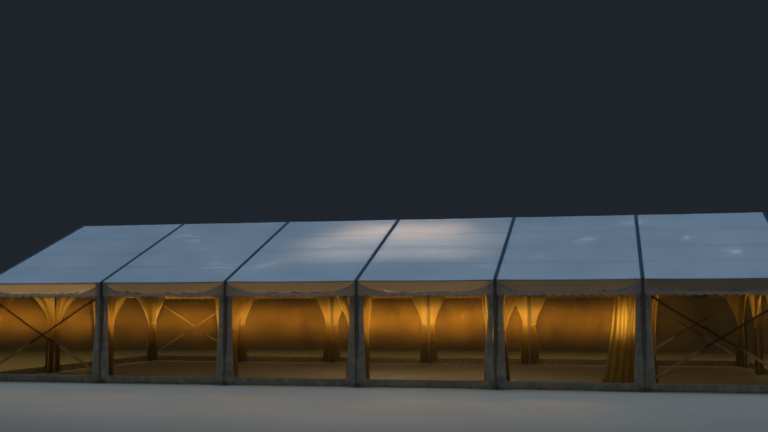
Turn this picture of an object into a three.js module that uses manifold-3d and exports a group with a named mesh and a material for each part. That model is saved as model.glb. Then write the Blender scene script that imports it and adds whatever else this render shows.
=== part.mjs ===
// A clear-span frame marquee: aluminium portal frames on base plates, joined by eave rails and
// purlins, with a white roof sheet in each bay, window walls, braced end bays and tied curtains.
// Millimetres, +X along the ridge, +Z up, the origin on the ground under the middle of the roof.

import * as THREE from 'three';
import { mergeVertices } from 'three/addons/utils/BufferGeometryUtils.js';
import Module from 'manifold-3d';

const wasm = await Module();
wasm.setup();

// Driving dimensions
const BAYS = 6;
const BAY = 3000;
const SPAN = 9000;
const EAVE_HEIGHT = 2300;
const RIDGE_HEIGHT = 3980;
const SEAT_GAP = 0.3;

// The aluminium frame
const PROFILE_WIDTH = 80;
const PROFILE_DEPTH = 130;
const BASE_PLATE = 200;
const BASE_PLATE_THICKNESS = 10;
const EAVE_RAIL = { width: 70, height: 90, bottom: 2150, inset: 25 };
const RIDGE_PURLIN = { width: 60, height: 70, drop: 45 };
const PURLIN_SIZE = 60;
const PURLIN_OUT = SPAN / 4;
const GABLE_POST_OUT = SPAN / 6;
const GABLE_POST_SIZE = 80;
const GABLE_RAIL = { depth: 60, height: 60 };

// The sheets
const SHEET = 8;
const ROOF_PROUD = 3;
const EAVE_OVERHANG = 20;
const VALANCE_DEPTH = 360;
const SCALLOPS = 15;
const SCALLOP_RISE = 38;
const SCALLOP_STEPS = 4;
const WALL_BOTTOM = 15;
const WALL_BORDER = { side: 125, bottom: 165, windowTop: 1990 };
const PANE = 3;
const GABLE_EDGE = 60;

// The bracing: flat straps in the walls and round cables under the roof
const STRAP = { width: 40, thickness: 6, apart: 4 };
const CABLE = { diameter: 14, sides: 8, apart: 8 };
const BRACE_LOW = 200;
const BRACE_HIGH = 2000;
const BRACE_DEPTH_IN_LEG = 70;
const ANCHOR = { width: 70, thickness: 8 };
const ROOF_BRACE_DROP = 113;
const ROOF_BRACE_RIDGE_OUT = 70;
const ROOF_BRACE_EAVE_IN = 250;
const RIDGE_ANCHOR = { width: 200, top: 118, height: 57 };

// The curtains: each form of drape has its free edge from the ground up, as [from the leg, height]
const CURTAIN_DEPTH = 80;
const CURTAIN_TOP = 2120;
const CURTAIN_HEADING = 60;
const CURTAIN_LEG_GAP = 60;
const DRAPE_EDGES = {
  tied: [[280, 30], [190, 900], [150, 1150], [215, 1400], [400, 1800], [560, CURTAIN_TOP]],
  narrow: [[270, 30], [230, 1150], [260, 1500], [330, CURTAIN_TOP]],
  loose: [[880, 30], [750, 600], [630, 1300], [550, CURTAIN_TOP]],
  wide: [
    [280, 30], [190, 900], [150, 1150], [310, 1400], [740, 1800], [1080, 2000], [1300, CURTAIN_TOP],
  ],
};

// The drapes on the left and right of each leg as seen from outside, from the left end to the right
const FRONT_DRAPES = [
  [null, 'narrow'],
  ['narrow', 'narrow'],
  ['narrow', 'tied'],
  ['tied', 'narrow'],
  ['narrow', 'tied'],
  ['loose', 'narrow'],
  ['tied', null],
];
const BACK_DRAPES = FRONT_DRAPES.map(([left, right]) => [left && 'tied', right && 'tied']);

// Worked out from the driving dimensions
const HALF_SPAN = SPAN / 2;
const HALF_LENGTH = (BAYS * BAY) / 2;
const EAVE_OUT = HALF_SPAN + EAVE_OVERHANG;
const SLOPE = Math.atan((RIDGE_HEIGHT - EAVE_HEIGHT) / EAVE_OUT);
const RISE = Math.tan(SLOPE);
const HALF_PROFILE = PROFILE_WIDTH / 2;
const LEG_INSIDE = HALF_SPAN - PROFILE_DEPTH;
const HALF_CLEAR_BAY = BAY / 2 - HALF_PROFILE - SEAT_GAP;

const aluminium = new THREE.MeshStandardMaterial({ color: 0x8f979e, roughness: 0.42, metalness: 0.9 });
const steel = new THREE.MeshStandardMaterial({ color: 0x5b5f63, roughness: 0.5, metalness: 0.85 });
const roofVinyl = new THREE.MeshStandardMaterial({ color: 0xdfe4ea, roughness: 0.55, metalness: 0 });
const wallVinyl = new THREE.MeshStandardMaterial({
  color: 0xf0eadb, roughness: 0.35, metalness: 0, transparent: true, opacity: 0.6,
});
const curtainCloth = new THREE.MeshStandardMaterial({ color: 0xe9d9ae, roughness: 0.9, metalness: 0 });

// Solids

function solidOf(geometry) {
  const bare = geometry.clone();
  bare.deleteAttribute('normal');
  bare.deleteAttribute('uv');
  const merged = mergeVertices(bare);
  return new wasm.Manifold(new wasm.Mesh({
    numProp: 3,
    vertProperties: new Float32Array(merged.attributes.position.array),
    triVerts: new Uint32Array(merged.index.array),
  }));
}

function geometryOf(solid) {
  const mesh = solid.getMesh();
  const geometry = new THREE.BufferGeometry();
  geometry.setAttribute('position', new THREE.BufferAttribute(mesh.vertProperties, 3));
  geometry.setIndex(new THREE.BufferAttribute(mesh.triVerts, 1));
  geometry.computeVertexNormals();
  return geometry;
}

function joined(geometries) {
  return geometries.map(solidOf).reduce((whole, piece) => whole.add(piece));
}

// Shapes

function shapeOf(points) {
  return new THREE.Shape(points.map(([u, v]) => new THREE.Vector2(u, v)));
}

// A shape drawn in (x, z), as seen from the front, from one y to another
function plateAlongY(shape, low, high) {
  const geometry = new THREE.ExtrudeGeometry(shape, { depth: high - low, bevelEnabled: false });
  geometry.rotateX(Math.PI / 2);
  geometry.translate(0, high, 0);
  return geometry;
}

// A cross-section drawn in (y, z), from one x to another
function barAlongX(points, low, high) {
  const geometry = new THREE.ExtrudeGeometry(shapeOf(points), { depth: high - low, bevelEnabled: false });
  const turn = new THREE.Matrix4().makeBasis(
    new THREE.Vector3(0, 1, 0),
    new THREE.Vector3(0, 0, 1),
    new THREE.Vector3(1, 0, 0),
  );
  geometry.applyMatrix4(turn);
  geometry.translate(low, 0, 0);
  return geometry;
}

function block(x, y, z) {
  const geometry = new THREE.BoxGeometry(x[1] - x[0], y[1] - y[0], z[1] - z[0]);
  geometry.translate((x[0] + x[1]) / 2, (y[0] + y[1]) / 2, (z[0] + z[1]) / 2);
  return geometry;
}

function centred(size, middle = 0) {
  return [middle - size / 2, middle + size / 2];
}

function cable(from, to) {
  const start = new THREE.Vector3(...from);
  const run = new THREE.Vector3(...to).sub(start);
  const radius = CABLE.diameter / 2;
  const geometry = new THREE.CylinderGeometry(radius, radius, run.length(), CABLE.sides);
  const turn = new THREE.Quaternion().setFromUnitVectors(
    new THREE.Vector3(0, 1, 0),
    run.clone().normalize(),
  );
  geometry.applyQuaternion(turn);
  const middle = start.addScaledVector(run, 0.5);
  geometry.translate(middle.x, middle.y, middle.z);
  return geometry;
}

// A flat strap in a plane of equal y, from one (x, z) to another
function strap(from, to, y) {
  const run = new THREE.Vector2(to[0] - from[0], to[1] - from[1]);
  const geometry = new THREE.BoxGeometry(run.length(), STRAP.thickness, STRAP.width);
  geometry.rotateY(-run.angle());
  geometry.translate((from[0] + to[0]) / 2, y, (from[1] + to[1]) / 2);
  return geometry;
}

// The height of the roof's plane, and of a line that runs under it by a given thickness
function roofAt(y, below = 0) {
  return RIDGE_HEIGHT - Math.abs(y) * RISE - below / Math.cos(SLOPE);
}

function frameX(index) {
  return index * BAY - HALF_LENGTH;
}

function bayX(index) {
  return frameX(index) + BAY / 2;
}

// The cross-sections of the long bars, with room around them where they pass through a frame

function eaveRailSection(side, room = 0) {
  const outside = HALF_SPAN - EAVE_RAIL.inset + room;
  const inside = HALF_SPAN - EAVE_RAIL.inset - EAVE_RAIL.width - room;
  const low = EAVE_RAIL.bottom - room;
  const high = EAVE_RAIL.bottom + EAVE_RAIL.height + room;
  return [[side * outside, low], [side * outside, high], [side * inside, high], [side * inside, low]];
}

function ridgePurlinSection(room = 0) {
  const half = RIDGE_PURLIN.width / 2 + room;
  const high = RIDGE_HEIGHT - RIDGE_PURLIN.drop + room;
  const low = RIDGE_HEIGHT - RIDGE_PURLIN.drop - RIDGE_PURLIN.height - room;
  return [[-half, low], [half, low], [half, high], [-half, high]];
}

function purlinSection(side, room = 0) {
  const half = PURLIN_SIZE / 2 + room;
  const middle = new THREE.Vector2(PURLIN_OUT, roofAt(PURLIN_OUT, PROFILE_DEPTH / 2));
  const down = new THREE.Vector2(Math.cos(SLOPE), -Math.sin(SLOPE));
  const up = new THREE.Vector2(Math.sin(SLOPE), Math.cos(SLOPE));
  return [[-half, -half], [half, -half], [half, half], [-half, half]].map(([along, across]) => {
    const corner = middle.clone().addScaledVector(down, along).addScaledVector(up, across);
    return [side * corner.x, corner.y];
  });
}

// Portal frame: two legs and two rafters, with a base plate under each leg

function portalFrame(isEnd) {
  const outline = [
    [-HALF_SPAN, 0],
    [-HALF_SPAN, roofAt(HALF_SPAN)],
    [0, RIDGE_HEIGHT],
    [HALF_SPAN, roofAt(HALF_SPAN)],
    [HALF_SPAN, 0],
    [LEG_INSIDE, 0],
    [LEG_INSIDE, roofAt(LEG_INSIDE, PROFILE_DEPTH)],
    [0, roofAt(0, PROFILE_DEPTH)],
    [-LEG_INSIDE, roofAt(LEG_INSIDE, PROFILE_DEPTH)],
    [-LEG_INSIDE, 0],
  ];
  const legMiddle = (HALF_SPAN + LEG_INSIDE) / 2;
  const plates = [-1, 1].map((side) => block(
    centred(BASE_PLATE),
    centred(BASE_PLATE, side * legMiddle),
    [0, BASE_PLATE_THICKNESS],
  ));
  const frame = joined([barAlongX(outline, -HALF_PROFILE, HALF_PROFILE), ...plates]);
  if (isEnd) {
    return geometryOf(frame);
  }
  const sections = [
    eaveRailSection(-1, SEAT_GAP),
    eaveRailSection(1, SEAT_GAP),
    ridgePurlinSection(SEAT_GAP),
    purlinSection(-1, SEAT_GAP),
    purlinSection(1, SEAT_GAP),
  ];
  const passages = joined(sections.map((section) => barAlongX(section, -PROFILE_WIDTH, PROFILE_WIDTH)));
  return geometryOf(frame.subtract(passages));
}

// Long bar from one end frame to the other, through the frames between them

function longBar(section) {
  const end = HALF_LENGTH - HALF_PROFILE - SEAT_GAP;
  return barAlongX(section, -end, end);
}

// Roof sheet of one bay: both slopes in one piece, with a scalloped valance at each eave

function roofSheet() {
  const valanceTop = EAVE_HEIGHT - VALANCE_DEPTH + SCALLOP_RISE;
  const outside = EAVE_OUT;
  const inside = EAVE_OUT - SHEET;
  const section = [
    [-outside, valanceTop],
    [-outside, roofAt(outside, ROOF_PROUD)],
    [0, roofAt(0, ROOF_PROUD)],
    [outside, roofAt(outside, ROOF_PROUD)],
    [outside, valanceTop],
    [inside, valanceTop],
    [inside, roofAt(inside, ROOF_PROUD + SHEET)],
    [0, roofAt(0, ROOF_PROUD + SHEET)],
    [-inside, roofAt(inside, ROOF_PROUD + SHEET)],
    [-inside, valanceTop],
  ];
  const hem = [[-HALF_CLEAR_BAY, valanceTop + SHEET]];
  const steps = SCALLOPS * SCALLOP_STEPS;
  for (let step = 0; step <= steps; step += 1) {
    const across = (step / steps) * 2 - 1;
    const drop = Math.abs(Math.sin((Math.PI * step) / SCALLOP_STEPS));
    hem.push([across * HALF_CLEAR_BAY, valanceTop - drop * SCALLOP_RISE]);
  }
  hem.push([HALF_CLEAR_BAY, valanceTop + SHEET]);
  const scallops = shapeOf(hem);
  return geometryOf(joined([
    barAlongX(section, -HALF_CLEAR_BAY, HALF_CLEAR_BAY),
    plateAlongY(scallops, -outside, -inside),
    plateAlongY(scallops, inside, outside),
  ]));
}

// Wall sheet with one or more clear windows, its inner face at y = 0 and its outer face in front

function windowWall(halfWidth, top, windows) {
  const low = WALL_BOTTOM + WALL_BORDER.bottom;
  const high = WALL_BORDER.windowTop;
  const sheetSolid = solidOf(block([-halfWidth, halfWidth], [-SHEET, 0], [WALL_BOTTOM, top]));
  const holes = windows.map((span) => block(span, [-2 * SHEET, SHEET], [low, high]));
  const panes = windows.map(([left, right]) => block(
    [left - PANE, right + PANE],
    centred(PANE, -SHEET / 2),
    [low - PANE, high + PANE],
  ));
  return geometryOf(sheetSolid.subtract(joined(holes)).add(joined(panes)));
}

function bayWall() {
  const half = HALF_CLEAR_BAY - WALL_BORDER.side;
  return windowWall(HALF_CLEAR_BAY, EAVE_RAIL.bottom + EAVE_RAIL.height, [[-half, half]]);
}

function gableWall() {
  const panel = SPAN / 3;
  const half = panel / 2 - HALF_PROFILE - WALL_BORDER.side;
  const windows = [-panel, 0, panel].map((middle) => [middle - half, middle + half]);
  return windowWall(HALF_SPAN - GABLE_EDGE, gableWallTop(), windows);
}

function gableWallTop() {
  return EAVE_RAIL.bottom + GABLE_RAIL.height / 2;
}

// Gable triangle: the sheet above the gable wall, held in the middle of the end rafters

function gableTriangle() {
  const edge = HALF_SPAN - GABLE_EDGE;
  const low = gableWallTop() + SEAT_GAP;
  const triangle = shapeOf([
    [-edge, low],
    [edge, low],
    [edge, roofAt(edge, PROFILE_DEPTH / 2)],
    [0, roofAt(0, PROFILE_DEPTH / 2)],
    [-edge, roofAt(edge, PROFILE_DEPTH / 2)],
  ]);
  return plateAlongY(triangle, -SHEET, 0);
}

// Gable posts: two uprights under the end rafters, joined by a rail at eave height

function gablePosts() {
  const half = GABLE_POST_SIZE / 2;
  const pieces = [];
  for (const middle of [-GABLE_POST_OUT, GABLE_POST_OUT]) {
    const post = shapeOf([
      [middle - half, 0],
      [middle + half, 0],
      [middle + half, roofAt(middle + half, PROFILE_DEPTH) - SEAT_GAP],
      [middle - half, roofAt(middle - half, PROFILE_DEPTH) - SEAT_GAP],
    ]);
    pieces.push(plateAlongY(post, -half, half));
    pieces.push(block(
      centred(BASE_PLATE, middle),
      centred(BASE_PLATE),
      [0, BASE_PLATE_THICKNESS],
    ));
  }
  pieces.push(block(
    centred(2 * (LEG_INSIDE - SEAT_GAP)),
    centred(GABLE_RAIL.depth),
    [EAVE_RAIL.bottom, EAVE_RAIL.bottom + GABLE_RAIL.height],
  ));
  return geometryOf(joined(pieces));
}

// Wall brace: two crossing straps between four anchor plates on the legs of one bay

function wallBrace() {
  const face = HALF_CLEAR_BAY;
  const tip = (STRAP.width / 2) * ((BRACE_HIGH - BRACE_LOW) / BAY);
  const strapEnd = face - ANCHOR.thickness / 2 - tip;
  const pieces = [];
  for (const side of [-1, 1]) {
    const low = [-side * strapEnd, BRACE_LOW];
    const high = [side * strapEnd, BRACE_HIGH];
    pieces.push(strap(low, high, (side * STRAP.apart) / 2));
    const plateX = centred(ANCHOR.thickness, side * (face - ANCHOR.thickness / 2));
    for (const height of [BRACE_LOW, BRACE_HIGH]) {
      pieces.push(block(plateX, centred(ANCHOR.width), centred(ANCHOR.width, height)));
    }
  }
  return geometryOf(joined(pieces));
}

// Roof brace: a cross of cables under each slope, which meet at the anchor plates by the ridge

function roofBrace() {
  const face = HALF_CLEAR_BAY;
  const cableEnd = face - ANCHOR.thickness;
  const eaveY = HALF_SPAN - ROOF_BRACE_EAVE_IN;
  const eaveZ = roofAt(eaveY, ROOF_BRACE_DROP);
  const ridgeZ = roofAt(ROOF_BRACE_RIDGE_OUT, ROOF_BRACE_DROP);
  const lift = CABLE.apart / 2;
  const anchorTop = RIDGE_HEIGHT - RIDGE_ANCHOR.top;
  const pieces = [];
  for (const end of [-1, 1]) {
    const plateX = centred(ANCHOR.thickness, end * (face - ANCHOR.thickness / 2));
    pieces.push(block(plateX, centred(RIDGE_ANCHOR.width), [anchorTop - RIDGE_ANCHOR.height, anchorTop]));
    for (const slope of [-1, 1]) {
      const high = [-end * cableEnd, slope * ROOF_BRACE_RIDGE_OUT, ridgeZ + end * lift];
      const low = [end * cableEnd, slope * eaveY, eaveZ + end * lift];
      pieces.push(cable(high, low));
      pieces.push(block(plateX, centred(ANCHOR.width, slope * eaveY), centred(ANCHOR.width, eaveZ)));
    }
  }
  return geometryOf(joined(pieces));
}

// Curtains of one leg: a drape on each side of the leg that has one, under one heading

function legCurtains(left, right) {
  const headingLow = CURTAIN_TOP - CURTAIN_HEADING;
  const half = (form) => {
    if (!form) {
      return [[HALF_PROFILE, headingLow], [HALF_PROFILE, CURTAIN_TOP]];
    }
    const edge = DRAPE_EDGES[form];
    return [[CURTAIN_LEG_GAP, headingLow], [CURTAIN_LEG_GAP, edge[0][1]], ...edge];
  };
  const mirrored = half(left).map(([x, z]) => [-x, z]).reverse();
  return plateAlongY(shapeOf([...half(right), ...mirrored]), 0, CURTAIN_DEPTH);
}

// A gable's curtains: drapes on both sides of each post and one from each corner, under one heading

function gableCurtains() {
  const corner = LEG_INSIDE - CURTAIN_DEPTH - 2 * SEAT_GAP;
  const headingLow = CURTAIN_TOP - CURTAIN_HEADING;
  const pieces = [block(centred(2 * corner), [0, CURTAIN_DEPTH], [headingLow, CURTAIN_TOP])];
  for (const side of [-1, 1]) {
    const pair = legCurtains('wide', 'wide');
    pair.translate(side * GABLE_POST_OUT, 0, 0);
    const drape = [[0, CURTAIN_TOP], [0, DRAPE_EDGES.wide[0][1]], ...DRAPE_EDGES.wide];
    const outline = shapeOf(drape.map(([x, z]) => [side * (corner - x), z]));
    pieces.push(pair, plateAlongY(outline, 0, CURTAIN_DEPTH));
  }
  return geometryOf(joined(pieces));
}

// The scene

const marquee = new THREE.Group();

function place(parent, name, geometry, material, position, turn = 0) {
  const mesh = new THREE.Mesh(geometry, material);
  mesh.name = name;
  mesh.position.set(...position);
  mesh.rotation.z = turn;
  parent.add(mesh);
}

const endFrame = portalFrame(true);
const innerFrame = portalFrame(false);
for (let index = 0; index <= BAYS; index += 1) {
  const isEnd = index === 0 || index === BAYS;
  place(marquee, `portal_frame_${index + 1}`, isEnd ? endFrame : innerFrame, aluminium, [frameX(index), 0, 0]);
}

place(marquee, 'front_eave_rail', longBar(eaveRailSection(-1)), aluminium, [0, 0, 0]);
place(marquee, 'back_eave_rail', longBar(eaveRailSection(1)), aluminium, [0, 0, 0]);
place(marquee, 'ridge_purlin', longBar(ridgePurlinSection()), aluminium, [0, 0, 0]);
place(marquee, 'front_purlin', longBar(purlinSection(-1)), aluminium, [0, 0, 0]);
place(marquee, 'back_purlin', longBar(purlinSection(1)), aluminium, [0, 0, 0]);

const sheet = roofSheet();
for (let index = 0; index < BAYS; index += 1) {
  place(marquee, `roof_sheet_${index + 1}`, sheet, roofVinyl, [bayX(index), 0, 0]);
}

const roofCross = roofBrace();
place(marquee, 'left_roof_brace', roofCross, steel, [bayX(0), 0, 0]);
place(marquee, 'right_roof_brace', roofCross, steel, [bayX(BAYS - 1), 0, 0]);

// Each long side is the same group, turned half round for the back
const panel = bayWall();
const cross = wallBrace();
const wallY = -(HALF_SPAN - EAVE_RAIL.inset) - SEAT_GAP;
const braceY = -HALF_SPAN + BRACE_DEPTH_IN_LEG;
const curtainY = -LEG_INSIDE + SEAT_GAP;

for (const sideName of ['front', 'back']) {
  const isBack = sideName === 'back';
  const side = new THREE.Group();
  side.rotation.z = isBack ? Math.PI : 0;
  marquee.add(side);
  for (let index = 0; index < BAYS; index += 1) {
    const number = isBack ? BAYS - index : index + 1;
    place(side, `${sideName}_wall_${number}`, panel, wallVinyl, [bayX(index), wallY, 0]);
  }
  const ends = isBack ? ['right', 'left'] : ['left', 'right'];
  place(side, `${sideName}_${ends[0]}_brace`, cross, steel, [bayX(0), braceY, 0]);
  place(side, `${sideName}_${ends[1]}_brace`, cross, steel, [bayX(BAYS - 1), braceY, 0]);
  for (let index = 0; index <= BAYS; index += 1) {
    const number = isBack ? BAYS + 1 - index : index + 1;
    const [left, right] = isBack ? BACK_DRAPES[index] : FRONT_DRAPES[index];
    const curtains = legCurtains(left, right);
    place(side, `${sideName}_curtain_${number}`, curtains, curtainCloth, [frameX(index), curtainY, 0]);
  }
}

// Each gable is the same group, drawn facing the front and turned to its own end
const posts = gablePosts();
const endWall = gableWall();
const triangle = gableTriangle();
const endCurtains = gableCurtains();
const gableFaceY = -HALF_PROFILE - SEAT_GAP;
const gableCurtainY = GABLE_POST_SIZE / 2 + SEAT_GAP;

for (const [name, end] of [['left', -1], ['right', 1]]) {
  const gable = new THREE.Group();
  gable.position.x = end * HALF_LENGTH;
  gable.rotation.z = (end * Math.PI) / 2;
  marquee.add(gable);
  place(gable, `${name}_gable_posts`, posts, aluminium, [0, 0, 0]);
  place(gable, `${name}_gable_wall`, endWall, wallVinyl, [0, gableFaceY, 0]);
  place(gable, `${name}_gable_triangle`, triangle, roofVinyl, [0, gableFaceY, 0]);
  place(gable, `${name}_gable_curtains`, endCurtains, curtainCloth, [0, gableCurtainY, 0]);
}

export default marquee;
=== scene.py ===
# A clear-span frame marquee in the evening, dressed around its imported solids: grooved aluminium
# portal frames, translucent vinyl roof sheets with scalloped valances, clear window walls, gathered
# curtains, ratchet straps and cables. Metres, +X along the ridge, +Z up, the front facing -Y.

import math

import bmesh
import bpy
import numpy as np
from mathutils import Matrix, Vector


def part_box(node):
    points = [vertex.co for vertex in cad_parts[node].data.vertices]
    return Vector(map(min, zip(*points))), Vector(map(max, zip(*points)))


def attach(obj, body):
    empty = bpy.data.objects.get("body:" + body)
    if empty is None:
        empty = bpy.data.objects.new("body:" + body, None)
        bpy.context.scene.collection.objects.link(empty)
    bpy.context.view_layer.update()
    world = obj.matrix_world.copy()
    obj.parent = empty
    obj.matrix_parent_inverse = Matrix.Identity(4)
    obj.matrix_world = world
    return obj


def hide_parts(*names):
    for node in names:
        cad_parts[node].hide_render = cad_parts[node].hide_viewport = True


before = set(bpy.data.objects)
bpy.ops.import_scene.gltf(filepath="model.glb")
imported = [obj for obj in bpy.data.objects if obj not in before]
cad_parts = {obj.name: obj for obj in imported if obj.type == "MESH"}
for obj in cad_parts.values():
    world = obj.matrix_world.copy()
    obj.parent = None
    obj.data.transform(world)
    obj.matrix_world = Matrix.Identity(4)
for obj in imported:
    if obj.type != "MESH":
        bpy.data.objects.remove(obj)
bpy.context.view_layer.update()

# The frame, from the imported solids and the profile's own sizes
BAYS = 6
EAVE_Z = 2.30
LEG_OUT = 4.50
PROFILE_WIDTH = 0.080
PROFILE_DEPTH = 0.130
PLATE = 0.200
PLATE_TOP = 0.010

# The vinyl: its depth under the frame's outer faces, its thickness and its reach into a groove
CLOTH_DROP = 0.007
CLOTH = 0.0016
GROOVE_REACH = 0.007


def middle(node):
    low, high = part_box(node)
    return (low + high) / 2


def extent(node):
    low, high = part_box(node)
    return high - low


FRAME_X = [middle(f"portal_frame_{n + 1}").x for n in range(BAYS + 1)]
BAY_X = [(a + b) / 2 for a, b in zip(FRAME_X, FRAME_X[1:])]
BAY = FRAME_X[1] - FRAME_X[0]
HALF_LENGTH = (FRAME_X[-1] - FRAME_X[0]) / 2
RIDGE_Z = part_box("portal_frame_1")[1].z
EAVE_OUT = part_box("roof_sheet_1")[1].y
HEM_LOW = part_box("roof_sheet_1")[0].z
RISE = (RIDGE_Z - EAVE_Z) / EAVE_OUT
SLOPE = math.atan(RISE)
HALF_BAY = BAY / 2 - PROFILE_WIDTH / 2
WALL_OUT = -middle("front_wall_1").y
WALL_LOW, WALL_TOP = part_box("front_wall_1")[0].z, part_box("front_wall_1")[1].z


def roof_at(out, below=0.0):
    """The height of the roof's plane, or of a line a given distance under it."""
    return RIDGE_Z - np.abs(out) * RISE - below / math.cos(SLOPE)


# Numbers that vary smoothly


def ease(value, start, end):
    """0 at start and 1 at end, turning smoothly between them; start may be above end."""
    share = np.clip((value - start) / (end - start), 0, 1)
    return share * share * (3 - 2 * share)


def ripples(seed, shortest, longest, count=9):
    """A smooth random ripple over a plane, mostly between -1 and 1, the same on each run."""
    rng = np.random.default_rng(seed)
    turns = rng.uniform(0, math.tau, count)
    numbers = math.tau / rng.uniform(shortest, longest, count)
    phases = rng.uniform(0, math.tau, count)

    def ripple(a, b):
        waves = [
            np.sin(number * (a * math.cos(turn) + b * math.sin(turn)) + phase)
            for turn, number, phase in zip(turns, numbers, phases)
        ]
        return sum(waves) / math.sqrt(count)

    return ripple


def outward(ripple):
    """A ripple turned to one side, so that a cloth bulges away from the posts behind it."""
    return np.sqrt(ripple**2 + 0.06)


# Making meshes

WASHER = 0.002
WELD_POINTS = 0.00001


class Form:
    """Points and faces gathered for one mesh, each face with its slot in the list of materials.

    A drape's form also says how much painted shade each of its points gets, more the deeper in a pleat it
    lies, from 0 to 1.
    """

    def __init__(self):
        self.points = []
        self.faces = []
        self.slots = []
        self.smooth = []
        # the painted shade in a drape's folds, one value for each point
        self.folds = []

    def add(self, points, faces, slot=0, smooth=False):
        start = len(self.points)
        self.points.extend(np.asarray(points, float).reshape(-1, 3).tolist())
        self.faces.extend([start + corner for corner in face] for face in faces)
        self.slots.extend([slot] * len(faces) if np.isscalar(slot) else slot)
        self.smooth.extend([smooth] * len(faces))

    def grid(self, points, slots=0):
        """A smooth sheet through rows and columns of points, with one slot or one for each cell."""
        rows, columns = points.shape[:2]
        index = np.arange(rows * columns).reshape(rows, columns)
        corners = [index[:-1, :-1], index[:-1, 1:], index[1:, 1:], index[1:, :-1]]
        cells = np.stack(corners, -1).reshape(-1, 4)
        cell_slots = np.broadcast_to(slots, (rows - 1, columns - 1)).reshape(-1)
        self.add(points, cells.tolist(), cell_slots.tolist(), True)

    def skin(self, rings, slot=0, smooth=False):
        """A closed skin through rings of equally many points, with a flat end at each side."""
        count = len(rings[0])
        faces = []
        for start in range(0, count * (len(rings) - 1), count):
            for corner in range(count):
                after = (corner + 1) % count
                faces.append((start + corner, start + after, start + count + after, start + count + corner))
        self.add(np.concatenate(rings), faces, slot, smooth)
        self.add(rings[0], [tuple(range(count))[::-1]], slot)
        self.add(rings[-1], [tuple(range(count))], slot)

    def prism(self, outline, run, slot=0):
        """A flat outline drawn out along a run."""
        ring = np.asarray(outline, float)
        self.skin([ring, ring + np.asarray(run, float)], slot)

    def block(self, centre, sizes, slot, chamfer):
        """A block with its four upright edges cut back by a chamfer."""
        x, y, z = (across / 2 for across in sizes)
        right = [(x - chamfer, -y), (x, -y + chamfer), (x, y - chamfer), (x - chamfer, y)]
        outline = right + [(-a, -b) for a, b in right]
        self.prism([(centre[0] + a, centre[1] + b, centre[2] - z) for a, b in outline], (0, 0, 2 * z), slot)

    def turned(self, start, axis, profile, sides, slot=0, smooth=False):
        """A turned form: the profile gives (distance along the axis from start, radius)."""
        forward = Vector(axis).normalized()
        across = forward.orthogonal().normalized()
        up = forward.cross(across)
        angles = [math.tau * step / sides for step in range(sides)]
        rings = [
            np.array([
                Vector(start) + forward * along + (across * math.cos(a) + up * math.sin(a)) * radius
                for a in angles
            ])
            for along, radius in profile
        ]
        self.skin(rings, slot, smooth)

    def rod(self, start, end, radius, sides=12, slot=0):
        run = Vector(end) - Vector(start)
        self.turned(start, run, [(0, radius), (run.length, radius)], sides, slot, True)

    def bolt(self, start, axis, radius, slot):
        """A washer and a hexagon head with a chamfered top, standing on a face."""
        self.turned(start, axis, [(0, radius * 1.5), (WASHER, radius * 1.5)], 16, slot)
        head = [(WASHER, radius), (WASHER + radius * 0.7, radius), (WASHER + radius * 0.85, radius * 0.8)]
        self.turned(start, axis, head, 6, slot)


def build(name, form, materials, place=Matrix.Identity(4), thickness=0.0):
    """A mesh object from a form; hard forms get outward faces, and cloth gets its thickness."""
    mesh = bpy.data.meshes.new(name)
    mesh.from_pydata(form.points, [], form.faces)
    mesh.polygons.foreach_set("material_index", form.slots)
    mesh.polygons.foreach_set("use_smooth", form.smooth)
    # A drape's painted shade in its folds goes on its points, for its material to read.
    if form.folds:
        mesh.attributes.new("fold", "FLOAT", "POINT").data.foreach_set("value", form.folds)
    for material in materials:
        mesh.materials.append(material)
    shape = bmesh.new()
    shape.from_mesh(mesh)
    bmesh.ops.remove_doubles(shape, verts=shape.verts, dist=WELD_POINTS)
    if not thickness:
        bmesh.ops.recalc_face_normals(shape, faces=shape.faces)
    shape.to_mesh(mesh)
    shape.free()
    mesh.transform(place)
    mesh.update()
    made = bpy.data.objects.new(name, mesh)
    bpy.context.scene.collection.objects.link(made)
    if thickness:
        solid = made.modifiers.new("thickness", "SOLIDIFY")
        solid.thickness = thickness
        solid.offset = 0.0
    return made


def fit(piece, slot, *nodes):
    """A finished piece rides on the frame and stands for its solids."""
    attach(piece, "root")
    if nodes:
        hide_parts(*nodes)


def dress(name, form, materials, slot, node, place=Matrix.Identity(4)):
    """A hard piece, built and fitted in place of its solid."""
    fit(build(name, form, materials, place), slot, node)


# Materials


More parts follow.
